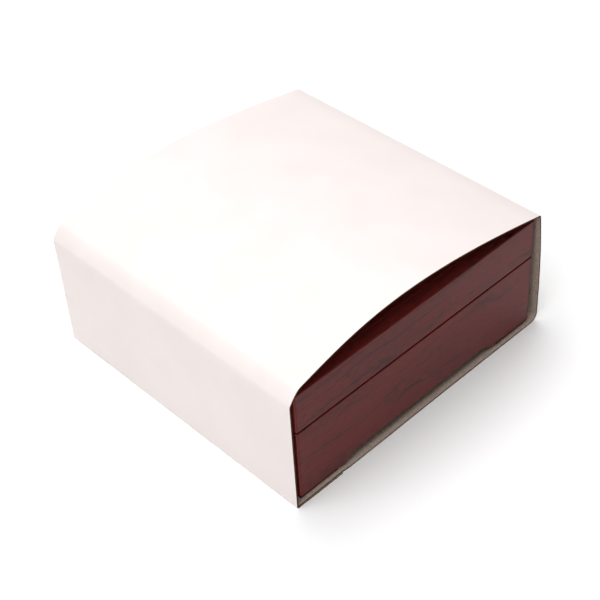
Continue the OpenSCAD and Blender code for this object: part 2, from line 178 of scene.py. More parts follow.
class StageSettings(PropertyGroup):
    azimuth: FloatProperty(
        name="Azimuth", description="Direction of the camera round the case",
        default=math.radians(-41.8), subtype="ANGLE")
    elevation: FloatProperty(
        name="Elevation", description="Height of the camera above the horizon",
        default=math.radians(41.83), subtype="ANGLE")
    roll: FloatProperty(
        name="Roll", description="Tilt of the camera about its line of sight",
        default=math.radians(-3.89), subtype="ANGLE")
    distance: FloatProperty(
        name="Distance", description="Distance from the camera to its target",
        default=439.6 * MM, unit="LENGTH")
    target: FloatVectorProperty(
        name="Target", description="Point that the camera looks at",
        default=(3.83 * MM, 4.98 * MM, 6.99 * MM), subtype="TRANSLATION")
    lens: FloatProperty(name="Lens", description="Focal length in millimetres", default=83.1)
    floor: StringProperty(name="Floor", description="Colour of the floor", default="#FFFFFF")
    softbox: FloatProperty(
        name="Softbox", description="Side of each square softbox", default=0.7, unit="LENGTH")
    softbox_distance: FloatProperty(
        name="Softbox distance", description="Distance from the case to each softbox",
        default=0.85, unit="LENGTH")
    softbox_height: FloatProperty(
        name="Softbox height", description="Angle of each softbox above the horizon",
        default=math.radians(62), subtype="ANGLE")
    left_power: FloatProperty(
        name="Left softbox", description="Power of the softbox on the left in watts", default=4.65)
    rear_power: FloatProperty(
        name="Rear softbox", description="Power of the softbox at the right rear in watts", default=3.4)
    front_power: FloatProperty(
        name="Front softbox", description="Power of the softbox at the left front in watts", default=1.85)
    fill: FloatProperty(
        name="Fill light", description="Strength of the white surroundings", default=0.165)


# Materials


def linear(colour):
    """Linear RGBA of an sRGB hex colour."""
    channels = [int(colour[i : i + 2], 16) / 255 for i in (1, 3, 5)]
    return [c / 12.92 if c <= 0.04045 else ((c + 0.055) / 1.055) ** 2.4 for c in channels] + [1.0]


def per(size):
    """How often a feature of that size repeats in a metre."""
    return 1 / size


def add_node(tree, kind, inputs=None, **settings):
    """Adds a node with its settings and its input values or links."""
    node = tree.nodes.new("ShaderNode" + kind)
    for name, value in settings.items():
        setattr(node, name, value)
    for key, value in (inputs or {}).items():
        if isinstance(value, bpy.types.NodeSocket):
            tree.links.new(value, node.inputs[key])
        else:
            node.inputs[key].default_value = value
    return node


def new_material(name, **surface):
    """Material with a Principled surface whose named sockets hold constants."""
    made = bpy.data.materials.new(name)
    made.use_nodes = True
    tree = made.node_tree
    shader = next(n for n in tree.nodes if n.type == "BSDF_PRINCIPLED")
    for socket, value in surface.items():
        shader.inputs[socket.replace("_", " ")].default_value = value
    return made, tree, shader


def pattern_place(tree, sizes):
    """Place on the piece, counted in a pattern's real size along each axis."""
    place = add_node(tree, "TexCoord")
    return add_node(tree, "VectorMath", {0: place.outputs["Object"], 1: [per(s) for s in sizes]},
                    operation="MULTIPLY").outputs[0]


def wood_grain(tree, place, along, length, height, detail):
    """Noise that is drawn out along the grain, at a real length and height."""
    sizes = [per(height)] * 3
    sizes[along] = per(length)
    drawn = add_node(tree, "VectorMath", {0: place, 1: sizes}, operation="MULTIPLY")
    return add_node(tree, "TexNoise", {"Vector": drawn.outputs[0], "Scale": 1.0,
                                       "Detail": detail}).outputs[0]


def colour_surface(tree, shader, factor, below, above):
    """Base colour that runs from one hex colour to another as the factor rises."""
    mixed = add_node(tree, "Mix", {"Factor": factor, "A": linear(below), "B": linear(above)},
                     data_type="RGBA")
    tree.links.new(mixed.outputs["Result"], shader.inputs["Base Color"])


def dent(tree, shader, height, depth):
    """Relief of a real depth on the surface."""
    bump = add_node(tree, "Bump", {"Height": height, "Distance": depth, "Strength": 1.0})
    tree.links.new(bump.outputs[0], shader.inputs["Normal"])


def lacquered_mahogany(wood, along):
    """Mahogany under a sprayed and rubbed satin-gloss lacquer.

    A deep red ground with soft dark growth lines and clouds along the grain, under a clear coat that
    mirrors the pale floor as a faint veil. The edges are mixed to a brighter red: a painted highlight
    where light would catch them.
    """
    made, tree, shader = new_material(
        "lacquered_mahogany_" + "xyz"[along], Roughness=0.5, Specular_IOR_Level=0.05, Coat_Weight=0.29,
        Coat_Roughness=0.12)
    place = pattern_place(tree, [1.0, 1.0, 1.0])
    wave = add_node(tree, "TexNoise", {"Vector": place, "Scale": per(wood.wave_size), "Detail": 2.0})
    shift = add_node(tree, "VectorMath", {0: wave.outputs["Color"], 1: (0.5, 0.5, 0.5)},
                     operation="SUBTRACT")
    reach = add_node(tree, "VectorMath", {0: shift.outputs[0], "Scale": 2 * wood.wave_height},
                     operation="SCALE")
    waved = add_node(tree, "VectorMath", {0: place, 1: reach.outputs[0]}, operation="ADD").outputs[0]
    across = [0.0 if axis == along else 2 * per(wood.line_spacing) for axis in range(3)]
    level = add_node(tree, "VectorMath", {0: waved, 1: across}, operation="DOT_PRODUCT")
    drift = wood_grain(tree, place, along, wood.drift_long, wood.drift_high, 1.0)
    lines_drifted, line_width = 5.0, 0.3
    growth = add_node(tree, "Math", {0: drift, 1: lines_drifted, 2: level.outputs["Value"]},
                      operation="MULTIPLY_ADD")
    folded = add_node(tree, "Math", {0: growth.outputs[0], 1: 1.0}, operation="PINGPONG")
    line = add_node(tree, "MapRange", {"Value": folded.outputs[0], "From Min": line_width, "From Max": 0.0},
                    interpolation_type="SMOOTHSTEP")
    mottle = wood_grain(tree, waved, along, wood.cloud_long, wood.cloud_high, 3.0)
    cloud = add_node(tree, "MapRange", {"Value": mottle, "From Min": 0.42, "From Max": 0.68},
                     interpolation_type="SMOOTHSTEP").outputs[0]
    faint_line, deep_line, cloud_depth = 0.1, 0.26, 0.2
    drawn = add_node(tree, "Math", {0: cloud, 1: deep_line, 2: faint_line}, operation="MULTIPLY_ADD")
    lines = add_node(tree, "Math", {0: line.outputs[0], 1: drawn.outputs[0]}, operation="MULTIPLY")
    figure = add_node(tree, "Math", {0: cloud, 1: cloud_depth, 2: lines.outputs[0]},
                      operation="MULTIPLY_ADD")
    fibre = wood_grain(tree, place, along, 8 * wood.fibre_width, wood.fibre_width, 3.0)
    grain = add_node(tree, "Math", {0: fibre, 1: 1.8, 2: -0.78}, operation="MULTIPLY_ADD")
    shade = add_node(tree, "Math", {0: figure.outputs[0], 1: grain.outputs[0]}, operation="ADD",
                     use_clamp=True)
    streaked = add_node(tree, "Mix", {"Factor": shade.outputs[0], "A": linear(wood.red),
                                      "B": linear(wood.dark)}, data_type="RGBA")
    # Painted highlight: where the bevelled normal turns from the face's own normal, at the edges, the
    # colour goes over to a brighter red.
    softened = add_node(tree, "Bevel", {"Radius": wood.arris}, samples=8)
    facing = add_node(tree, "NewGeometry")
    turned = add_node(tree, "VectorMath", {0: softened.outputs[0], 1: facing.outputs["Normal"]},
                      operation="DOT_PRODUCT")
    painted_edge_highlight = add_node(tree, "MapRange", {"Value": turned.outputs["Value"], "From Min": 0.995,
                                       "From Max": 0.86}, interpolation_type="SMOOTHSTEP")
    edged = add_node(tree, "Mix", {"Factor": painted_edge_highlight.outputs[0], "A": streaked.outputs["Result"],
                                   "B": linear(wood.painted_edge_highlight)}, data_type="RGBA")
    tree.links.new(edged.outputs["Result"], shader.inputs["Base Color"])
    dent(tree, shader, fibre, 0.004 * MM)
    return made


def pressed_fibreboard():
    """Wood fibres pressed into board and sawn: pale brown, with short darker fibres."""
    made, tree, shader = new_material("pressed_fibreboard", Roughness=0.85)
    fibre = add_node(tree, "TexNoise", {"Vector": pattern_place(tree, [1.2 * MM, 0.3 * MM, 0.3 * MM]),
                                        "Scale": 1.0, "Detail": 4.0})
    colour_surface(tree, shader, fibre.outputs[0], "#8E7053", "#B79A78")
    dent(tree, shader, fibre.outputs[0], 0.03 * MM)
    return made


def coated_card(sleeve):
    """Solid board with a clay-coated, calendered face: white, nearly matt, with a faint cloudiness."""
    made, tree, shader = new_material("coated_card", Roughness=0.55, Specular_IOR_Level=0.35)
    place = pattern_place(tree, [1.0, 1.0, 1.0])
    cloud = add_node(tree, "TexNoise", {"Vector": place, "Scale": per(16 * MM), "Detail": 3.0})
    clouds = add_node(tree, "MapRange", {"Value": cloud.outputs[0], "From Min": 0.4, "From Max": 0.65})
    colour_surface(tree, shader, clouds.outputs[0], sleeve.white, "#EEE4E1")
    fibre = add_node(tree, "TexNoise", {"Vector": place, "Scale": per(0.5 * MM), "Detail": 4.0})
    dent(tree, shader, fibre.outputs[0], 0.006 * MM)
    return made


def uncoated_card_back(sleeve):
    """Back of recycled board, uncoated: grey-brown, matt, with flecks of fibre."""
    made, tree, shader = new_material("uncoated_card_back", Roughness=0.92, Specular_IOR_Level=0.2)
    place = pattern_place(tree, [0.35 * MM, 1.1 * MM, 0.35 * MM])
    fleck = add_node(tree, "TexNoise", {"Vector": place, "Scale": 1.0, "Detail": 4.0, "Roughness": 0.65})
    flecks = add_node(tree, "MapRange", {"Value": fleck.outputs[0], "From Min": 0.35, "From Max": 0.7})
    colour_surface(tree, shader, flecks.outputs[0], sleeve.back, "#998677")
    dent(tree, shader, fleck.outputs[0], 0.02 * MM)
    return made


def cut_card_edge(sleeve):
    """Edge of the board where a die has cut it: brown, torn fibre, dark between the plies."""
    made, tree, shader = new_material("cut_card_edge", Roughness=0.95, Specular_IOR_Level=0.1)
    ply = add_node(tree, "TexNoise", {"Vector": pattern_place(tree, [0.5 * MM, 0.5 * MM, 0.12 * MM]),
                                      "Scale": 1.0, "Detail": 3.0})
    colour_surface(tree, shader, ply.outputs[0], sleeve.edge, "#1E140E")
    dent(tree, shader, ply.outputs[0], 0.04 * MM)
    return made


def rubber_and_painted_shade():
    """Sheet rubber cut to shape: black and matt, faintly mottled; its black also serves as painted shade in
    the gap under the feet.
    """
    made, tree, shader = new_material("rubber_and_painted_shade", Roughness=0.8, Specular_IOR_Level=0.3)
    mottle = add_node(tree, "TexNoise", {"Vector": pattern_place(tree, [1.0, 1.0, 1.0]),
                                         "Scale": per(0.6 * MM), "Detail": 3.0})
    colour_surface(tree, shader, mottle.outputs[0], "#0E0E0F", "#1B1B1C")
    dent(tree, shader, mottle.outputs[0], 0.02 * MM)
    return made


def woven_velvet(lining):
    """Cut-pile velvet: black, soft, lighter where the pile is seen edge-on or is brushed another way."""
    made, tree, shader = new_material(
        "woven_velvet", Roughness=0.9, Specular_IOR_Level=0.15, Sheen_Weight=0.55, Sheen_Roughness=0.35)
    shader.inputs["Sheen Tint"].default_value = linear("#8C8894")
    place = pattern_place(tree, [1.0, 1.0, 1.0])
    nap = add_node(tree, "TexNoise", {"Vector": place, "Scale": per(14 * MM), "Detail": 2.0,
                                      "Distortion": 0.6})
    naps = add_node(tree, "MapRange", {"Value": nap.outputs[0], "From Min": 0.42, "From Max": 0.62})
    colour_surface(tree, shader, naps.outputs[0], lining.black, "#1E1C23")
    pile = add_node(tree, "TexNoise", {"Vector": place, "Scale": per(0.28 * MM), "Detail": 2.0})
    dent(tree, shader, pile.outputs[0], 0.09 * MM)
    return made


def pressed_felt():
    """Pressed wool felt: black, matt, with tangled fibres."""
    made, tree, shader = new_material("pressed_felt", Roughness=1.0, Specular_IOR_Level=0.1,
                                      Sheen_Weight=0.2)
    place = pattern_place(tree, [1.0, 1.0, 1.0])
    fibre = add_node(tree, "TexNoise", {"Vector": place, "Scale": per(0.8 * MM), "Detail": 5.0,
                                        "Distortion": 1.5})
    colour_surface(tree, shader, fibre.outputs[0], "#0E0E10", "#2A2A2D")
    dent(tree, shader, fibre.outputs[0], 0.12 * MM)
    return made


def open_cell_foam():
    """Cut polyurethane foam: dark grey, matt and full of small cells."""
    made, tree, shader = new_material("open_cell_foam", Roughness=1.0, Specular_IOR_Level=0.1)
    cell = add_node(tree, "TexVoronoi", {"Vector": pattern_place(tree, [1.0, 1.0, 1.0]),
                                         "Scale": per(0.6 * MM)})
    # Painted shade: each cell is darker towards its middle, as in a shaded pore.
    colour_surface(tree, shader, cell.outputs["Distance"], "#2B2B2E", "#5A5A5E")
    dent(tree, shader, cell.outputs["Distance"], 0.1 * MM)
    return made


def woven_satin(lining):
    """Polyester satin weave: ivory with a silky gloss that runs across the long floating threads."""
    made, tree, shader = new_material(
        "woven_satin", Roughness=0.34, Specular_IOR_Level=0.5, Anisotropic=0.45, Sheen_Weight=0.25)
    thread = add_node(tree, "TexNoise", {"Vector": pattern_place(tree, [0.18 * MM, 2.5 * MM, 0.18 * MM]),
                                         "Scale": 1.0, "Detail": 2.0})
    colour_surface(tree, shader, thread.outputs[0], lining.ivory, "#DCD0B9")
    dent(tree, shader, thread.outputs[0], 0.012 * MM)
    return made


def grey_pulp_card():
    """Uncoated grey board behind the satin: matt, with flecks of pulp."""
    made, tree, shader = new_material("grey_pulp_card", Roughness=0.95)
    fleck = add_node(tree, "TexNoise", {"Vector": pattern_place(tree, [1.0, 1.0, 1.0]),
                                        "Scale": per(0.7 * MM), "Detail": 4.0})
    colour_surface(tree, shader, fleck.outputs[0], "#8C8880", "#A9A59C")
    dent(tree, shader, fleck.outputs[0], 0.02 * MM)
    return made


def rolled_brass():
    """Brass strip, rolled and tumbled: yellow metal with fine lines along the roll."""
    made, tree, shader = new_material("rolled_brass", Metallic=1.0)
    line = add_node(tree, "TexNoise", {"Vector": pattern_place(tree, [3 * MM, 0.08 * MM, 0.08 * MM]),
                                       "Scale": 1.0, "Detail": 3.0})
    rough = add_node(tree, "MapRange", {"Value": line.outputs[0], "To Min": 0.24, "To Max": 0.42})
    tree.links.new(rough.outputs[0], shader.inputs["Roughness"])
    colour_surface(tree, shader, line.outputs[0], "#C9A14E", "#B98F3F")
    dent(tree, shader, line.outputs[0], 0.004 * MM)
    return made


def turned_brass():
    """Turned brass of screws and pins: brighter yellow, with fine rings from the tool."""
    made, tree, shader = new_material("turned_brass", Metallic=1.0)
    ring = add_node(tree, "TexNoise", {"Vector": pattern_place(tree, [0.15 * MM, 0.15 * MM, 0.15 * MM]),
                                       "Scale": 1.0, "Detail": 2.0})
    rough = add_node(tree, "MapRange", {"Value": ring.outputs[0], "To Min": 0.16, "To Max": 0.32})
    tree.links.new(rough.outputs[0], shader.inputs["Roughness"])
    colour_surface(tree, shader, ring.outputs[0], "#D9B25C", "#C69C48")
    return made


def nickel_plate():
    """Nickel plating on a sintered magnet: warm grey metal, slightly uneven."""
    made, tree, shader = new_material("nickel_plate", Metallic=1.0)
    spot = add_node(tree, "TexNoise", {"Vector": pattern_place(tree, [1.0, 1.0, 1.0]),
                                       "Scale": per(0.9 * MM), "Detail": 3.0})
    rough = add_node(tree, "MapRange", {"Value": spot.outputs[0], "To Min": 0.18, "To Max": 0.34})
    tree.links.new(rough.outputs[0], shader.inputs["Roughness"])
    colour_surface(tree, shader, spot.outputs[0], "#BDB8AE", "#A9A398")
    dent(tree, shader, spot.outputs[0], 0.01 * MM)
    return made


def matt_paint(colour):
    """Matt pale paint of the floor."""
    made, tree, shader = new_material("matt_paint", Roughness=0.9, Specular_IOR_Level=0.1)
    shader.inputs["Base Color"].default_value = linear(colour)
    return made


# Meshes


def new_piece(name, points, faces, materials, slots=None, sharp=math.radians(35)):
    """Mesh object with smooth faces and sharp edges above an angle; slots gives each face's material."""
    mesh = bpy.data.meshes.new(name)
    mesh.from_pydata([tuple(p) for p in points], [], faces)
    for made in materials:
        mesh.materials.append(made)
    if slots is not None:
        mesh.polygons.foreach_set("material_index", slots)
    mesh.validate()
    mesh.shade_smooth()
    mesh.set_sharp_from_angle(angle=sharp)
    piece = bpy.data.objects.new(name, mesh)
    bpy.context.scene.collection.objects.link(piece)
    return piece


def ring_faces(rings, around, closed=False):
    """Quads between neighbouring rings of points; a closed form joins the last ring to the first."""
    faces = []
    for i in range(rings if closed else rings - 1):
        a, b = i * around, (i + 1) % rings * around
        faces += [(a + j, a + (j + 1) % around, b + (j + 1) % around, b + j) for j in range(around)]
    return faces


def join_rings(first, second):
    """Quads between two rings of point numbers."""
    count = len(first)
    pairs = [(k, (k + 1) % count) for k in range(count)]
    return [(first[k], first[n], second[n], second[k]) for k, n in pairs]


def filled(rings, start_middle, end_middle):
    """Points and faces of a form of rings that closes round a middle point at both ends."""
    around = len(rings[0])
    points = [p for ring in rings for p in ring] + [start_middle, end_middle]
    start, end, last = len(points) - 2, len(points) - 1, (len(rings) - 1) * around
    faces = ring_faces(len(rings), around)
    for j in range(around):
        k = (j + 1) % around
        faces += [(k, j, start), (last + j, last + k, end)]
    return points, faces


def lattice(count, first, flip):
    """Quads of a square sheet of count by count cells, whose point numbers start at first."""
    wide = count + 1
    ahead, aside = (1, wide) if flip else (wide, 1)
    corners = [first + i * wide + j for i in range(count) for j in range(count)]
    return [(a, a + ahead, a + wide + 1, a + aside) for a in corners]


def lattice_rim(count):
    """Point numbers round the edge of a square sheet of count by count cells."""
    places = [(i, 0) for i in range(count)] + [(count, j) for j in range(count)]
    places += [(i, count) for i in range(count, 0, -1)] + [(0, j) for j in range(count, 0, -1)]
    return [i * (count + 1) + j for i, j in places]


def curve(p0, p1, p2, p3, steps):
    """Points along a curve from p0 to p3 that leaves them towards p1 and p2, without its first point."""
    shares = [(i + 1) / steps for i in range(steps)]
    return [p0 * (1 - t) ** 3 + p1 * 3 * t * (1 - t) ** 2 + p2 * 3 * t * t * (1 - t) + p3 * t**3
            for t in shares]


def dress(nodes, made):
    """Gives nodes of the construction a material."""
    for name in nodes:
        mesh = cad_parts[name].data
        mesh.materials.clear()
        mesh.materials.append(made)


# Folded card sleeve


def fold(before, corner, after, radius, steps=6):
    """Points round a creased fold, from one panel to the next."""
    start = corner + (before - corner).normalized() * radius
    end = corner + (after - corner).normalized() * radius
    crisp = 0.8
    middle = corner * crisp + (start + end) * (1 - crisp) / 2
    return [start] + curve(start, (start + middle) / 2, (end + middle) / 2, end, steps)


def straight(start, end, steps):
    """Points between start and end, without both."""
    return [start.lerp(end, (i + 1) / (steps + 1)) for i in range(steps)]


def card_path(sleeve, share):
    """Outer line of the card in X and Z, from the glue flap's end clockwise to the bottom panel's end.

    share runs from 0 at the near end of the sleeve to 1 at the far end. The bottom panel laps over the
    flap at the left.
    """
    card, radius = sleeve.card, sleeve.fold_radius
    left_x, left_z = lowest("sleeve_left_panel").x, highest("sleeve_left_panel").z
    right_x, right_z = highest("sleeve_top_panel").x, highest("sleeve_right_panel").z
    bulge_x = highest("sleeve_right_panel").x
    flap_end = Vector((highest("sleeve_glue_flap").x, 0))
    low_left, high_left = Vector((left_x, 0)), Vector((left_x, left_z))
    shoulder = high_left + Vector((sleeve.shoulder_width, sleeve.shoulder_rise))
    high_right = Vector((right_x, right_z))
    lid_z = highest("lid_top_board").z
    height = sleeve.bow_height - sleeve.far_drop * share
    span = right_x - shoulder.x
    side = right_z - sleeve.bend_radius
    low_right = Vector((bulge_x, sleeve.bend_radius))
    rise_pulls = [Vector((x * sleeve.shoulder_width, z * sleeve.shoulder_rise))
                  for x, z in ((0.3, 0.42), (0.62, 0.9))]
    bow_pulls = [Vector((shoulder.x + x * span, lid_z + z * height))
                 for x, z in ((0.235, 1.02), (0.416, 1.466))]
    drop_pulls = [Vector((bulge_x, right_z - z * side)) for z in (0.4, 0.8)]
    rise = curve(high_left, high_left + rise_pulls[0], high_left + rise_pulls[1], shoulder, 12)
    bow = curve(shoulder, *bow_pulls, high_right, 56)
    drop = curve(high_right, *drop_pulls, low_right, 24)
    turns = [math.radians(90) * (i + 1) / 10 for i in range(10)]
    bend = [Vector((bulge_x, 0)) + sleeve.bend_radius * Vector((math.cos(a) - 1, 1 - math.sin(a)))
            for a in turns]
    path = [flap_end] + straight(flap_end, low_left, 10)
    path += fold(flap_end, low_left, high_left, radius)
    path += straight(low_left, high_left, 20)
    path += fold(low_left, high_left, rise[1], radius)
    path += rise[2:] + bow[:-2]
    path += fold(bow[-2], high_right, drop[0], radius)
    path += drop + bend
    down = flap_end + Vector((sleeve.lap_run, 0))
    for point in straight(bend[-1], down, 40):
        arch = math.sin(math.pi * (point.x - down.x) / (bend[-1].x - down.x))
        path.append(point + Vector((0, sleeve.lift * arch**2)))
    lapped, cut = flap_end + Vector((0, card)), low_left + Vector((card * 1.2, card))
    path += [down] + curve(down, down.lerp(lapped, 0.5), lapped.lerp(down, 0.3), lapped, 6)
    path += straight(lapped, cut, 12) + [cut]
    return path


def inner_line(path, card):
    """The path moved to the card's other face, square to it."""
    count = len(path)
    moved = []
    for i, point in enumerate(path):
        along = (path[min(i + 1, count - 1)] - path[max(i - 1, 0)]).normalized()
        moved.append(point + Vector((along.y, -along.x)) * card)
    return moved


def card_warp(sleeve, x, y, z):
    """Height of the card's gentle waves at a point."""
    size = 45 * MM
    return sleeve.warp * noise.noise(Vector((x / size, y / size, z / size + 3.7)))


def card_faces(stations, count, inner):
    """Quads of the folded card, and for each 0 on the white face, 1 on the back and 2 on a cut edge.

    Each station has count points on the white face. The numbers of the back's points start at inner.
    """
    faces, slots = [], []
    for i in range(stations):
        for j in range(count - 1):
            a, b = i * count + j, (i + 1) * count + j
            faces.append((a, a + 1, b + 1, b))
            faces.append((inner + a + 1, inner + a, inner + b, inner + b + 1))
            slots += [0, 1]
        for j in (0, count - 1):
            a, b = i * count + j, (i + 1) * count + j
            face = (a, b, inner + b, inner + a)
            faces.append(face if j == 0 else face[::-1])
            slots.append(2)
    for i in (0, stations):
        for a in range(i * count, i * count + count - 1):
            face = (a, inner + a, inner + a + 1, a + 1)
            faces.append(face if i == 0 else face[::-1])
            slots.append(2)
    return faces, slots


class COINCASE_OT_fold_sleeve(Operator):
    """Fold the card sleeve as one sheet: flap, left, bowed top, right and bottom panel"""

    bl_idname = "coincase.fold_sleeve"
    bl_label = "Card sleeve"

    def execute(self, context):
        sleeve = context.scene.coincase_sleeve
        front, back = lowest("sleeve_top_panel").y, highest("sleeve_top_panel").y
        stations, slip_end, slip_run = 48, 14, 10
        settled = 10 * MM
        outer, inner = [], []
        for i in range(stations + 1):
            share = i / stations
            y = front + share * (back - front)
            path = card_path(sleeve, share)
            line = inner_line(path, sleeve.card)
            for place, kept in ((path, outer), (line, inner)):
                for j, p in enumerate(place):
                    wave = card_warp(sleeve, p.x, y, p.y) * min(max(p.y / settled, 0), 1)
                    slip = sleeve.flap_slip * min(max((slip_end - j) / slip_run, 0), 1) * (1 - share) ** 8
                    kept.append((p.x, y - slip, p.y + wave))
        faces, slots = card_faces(stations, len(path), len(outer))
        materials = [coated_card(sleeve), uncoated_card_back(sleeve), cut_card_edge(sleeve)]
        piece = new_piece("card_sleeve", outer + inner, faces, materials, slots)
        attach(piece, "sleeve")
        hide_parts("sleeve_bottom_panel", "sleeve_left_panel", "sleeve_right_panel",
                    "sleeve_top_panel", "sleeve_glue_flap")
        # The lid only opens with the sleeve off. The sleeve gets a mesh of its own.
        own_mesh(piece)
        return {"FINISHED"}


# Woodwork, boards and metal


class COINCASE_OT_lacquer_wood(Operator):
    """Give the rails and the top board their lacquered mahogany"""

    bl_idname = "coincase.lacquer_wood"
    bl_label = "Woodwork"

    def execute(self, context):
        wood = context.scene.coincase_wood
        along_x, along_y = lacquered_mahogany(wood, 0), lacquered_mahogany(wood, 1)
        for part in ("base_", "lid_"):
            dress([part + "front_rail", part + "back_rail"], along_x)
            dress([part + "left_rail", part + "right_rail"], along_y)
        dress(["lid_top_board"], along_x)
        return {"FINISHED"}


class COINCASE_OT_finish_boards(Operator):
    """Give the boards, the backing card and the rubber foot pads their raw finish; the pads' black is also
    painted shade
    """

    bl_idname = "coincase.finish_boards"
    bl_label = "Boards and foot pads"

    def execute(self, context):
        dress(["base_floor_board", "tray_board"], pressed_fibreboard())
        dress(["lid_pad_card"], grey_pulp_card())
        # The foot pads are black rubber; their black also paints the deep shade under the feet.
        dress([end + "_" + side + "_foot_pad" for end in ("front", "back") for side in ("left", "right")],
              rubber_and_painted_shade())
        return {"FINISHED"}


class COINCASE_OT_finish_metal(Operator):
    """Give the hinges, screws and magnets their metal"""

    bl_idname = "coincase.finish_metal"
    bl_label = "Metal"

    def execute(self, context):
        hinges = ("left_hinge_", "right_hinge_")
        dress([hinge + part + "_leaf" for hinge in hinges for part in ("base", "lid")], rolled_brass())
        dress([hinge + "pin" for hinge in hinges] + ["base_hinge_screws", "lid_hinge_screws"],
              turned_brass())
        dress(["base_magnets", "lid_magnets"], nickel_plate())
        return {"FINISHED"}


# Velvet tray


class SeatOutline:
    """Outline of the coin seat with its finger notch, and of the tray, by direction from the middle."""

    def __init__(self, lining):
        low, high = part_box("seat_disc")
        self.seat = high.x - lining.velvet
        self.notch = -low.y - self.seat - lining.velvet
        self.half = highest("tray_velvet").x
        self.angles = [2 * math.pi * i / lining.around for i in range(lining.around)]

    def hole(self, angle, grow):
        """Distance to the seat's edge, with the cusps beside the notch softened."""
        soft = 0.5 * MM
        off = abs((angle + math.pi / 2 + math.pi) % (2 * math.pi) - math.pi)
        across = self.seat * math.sin(min(off, math.pi / 2))
        reach = self.seat * math.cos(off) + math.sqrt(max((self.notch + grow) ** 2 - across**2, 0))
        rim = self.seat + grow
        return (rim + reach + math.sqrt((rim - reach) ** 2 + soft**2)) / 2

    def square(self, angle, inset, corner):
        """Distance to the tray's outer edge, with round corners."""
        half = self.half - inset
        x, y = abs(math.cos(angle)), abs(math.sin(angle))
        out = half / max(x, y)
        middle = half - corner
        if min(out * x, out * y) <= middle:
            return out
        ahead = middle * (x + y)
        return ahead + math.sqrt(max(ahead**2 - 2 * middle**2 + corner**2, 0))

    def ring(self, z, share=0.0, grow=0.0, inset=0.0):
        """Ring of points at a height, between the seat's edge at share 0 and the tray's at share 1."""
        points, corner = [], 1 * MM
        for angle in self.angles:
            near = self.hole(angle, grow) if share < 1 else 0
            far = self.square(angle, inset, corner) if share > 0 else 0
            radius = near * (1 - share) + far * share
            points.append((radius * math.cos(angle), radius * math.sin(angle), z))
        return points


def quarter(steps):
    """Sine and cosine along a quarter turn, both ends included."""
    turns = [math.radians(90) * i / steps for i in range(steps + 1)]
    return [(math.sin(a), math.cos(a)) for a in turns]


def nap_wave(points, height):
    """Moves points up and down by a small smooth noise, as fabric over foam does."""
    size = 9 * MM
    return [(x, y, z + height * noise.noise(Vector((x / size, y / size, 1.3)))) for x, y, z in points]


class COINCASE_OT_pad_tray(Operator):
    """Build the foam block, the velvet cover and the padded disc of the coin seat"""

    bl_idname = "coincase.pad_tray"
    bl_label = "Coin tray"

    def execute(self, context):
        lining = context.scene.coincase_lining
        outline = SeatOutline(lining)
        velvet = woven_velvet(lining)
        self.foam(outline, lining.velvet)
        self.cover(outline, lining, velvet)
        self.disc(outline, lining, velvet)
        return {"FINISHED"}

    def foam(self, outline, cloth):
        low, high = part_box("tray_foam")
        pocket_z = lowest("seat_disc").z
        ease = 0.4 * MM
        rings = [outline.ring(pocket_z, grow=cloth - cloth * s) for s in (1.0, 0.5, 0.0)]
        rings += [outline.ring(pocket_z + (high.z - ease - pocket_z) * s, grow=cloth) for s in (0.5, 1.0)]
        rings += [outline.ring(high.z - ease + ease * s, grow=cloth + ease - ease * c)
                  for s, c in quarter(3)]
        rings += [outline.ring(high.z, share=s, grow=cloth + ease, inset=ease) for s in (0.3, 0.7)]
        rings += [outline.ring(high.z - ease + ease * c, share=1.0, inset=ease - ease * s)
                  for s, c in quarter(3)]
        rings += [outline.ring(low.z + (high.z - low.z) * s, share=1.0) for s in (0.5, 0.0)]
        points, faces = filled(rings, (0, 0, pocket_z), (0, 0, low.z))
        piece = new_piece("foam_block", points, [f[::-1] for f in faces], [open_cell_foam()])
        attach(piece, "base")
        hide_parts("tray_foam")

    def cover(self, outline, lining, velvet):
        low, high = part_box("tray_velvet")
        back, rim, crown = lining.velvet, lining.rim, lining.crown
        roll = 0.9 * MM
        top, under = high.z, high.z - back
        rings = [outline.ring(low.z + (top - rim - low.z) * s) for s in (0.0, 0.33, 0.67)]
        rings += [outline.ring(top - rim + rim * s, grow=rim - rim * c) for s, c in quarter(6)]
        for i in range(1, 24):
            share = i / 24
            swell = crown * math.sin(math.pi * share) ** 0.6
            ring = outline.ring(top + swell, share=share, grow=rim, inset=roll)
            rings.append(nap_wave(ring, 0.12 * MM * math.sin(math.pi * share)))
        rings += [outline.ring(top - roll + roll * c, share=1.0, inset=roll - roll * s)
                  for s, c in quarter(6)]
        rings += [outline.ring(under, share=1.0)]
        rings += [outline.ring(under, share=s, grow=back) for s in (0.6, 0.0)]
        rings += [outline.ring(low.z, grow=back)]
        points = [p for ring in rings for p in ring]
        faces = [f[::-1] for f in ring_faces(len(rings), lining.around, closed=True)]
        piece = new_piece("velvet_tray", points, faces, [velvet])
        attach(piece, "base")
        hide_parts("tray_velvet")

    def disc(self, outline, lining, velvet):
        low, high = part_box("seat_disc")
        gap, ease, crown = 0.1 * MM, 0.5 * MM, 0.3 * MM
        edge = lining.velvet - gap
        rings = [outline.ring(low.z, grow=edge), outline.ring(high.z - ease, grow=edge)]
        rings += [outline.ring(high.z - ease + ease * s, grow=edge - ease + ease * c)
                  for s, c in quarter(4)[1:]]
        for i in range(1, 12):
            share = 1 - i / 12
            ring = outline.ring(high.z + crown * (1 - share**2), grow=edge - ease)
            ring = [(x * share, y * share, z) for x, y, z in ring]
            rings.append(nap_wave(ring, 0.06 * MM))
        points, faces = filled(rings, (0, 0, low.z), (0, 0, high.z + crown))
        piece = new_piece("velvet_seat_disc", points, faces, [velvet])
        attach(piece, "base")
        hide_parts("seat_disc")


# Covered strips, felt and satin pad


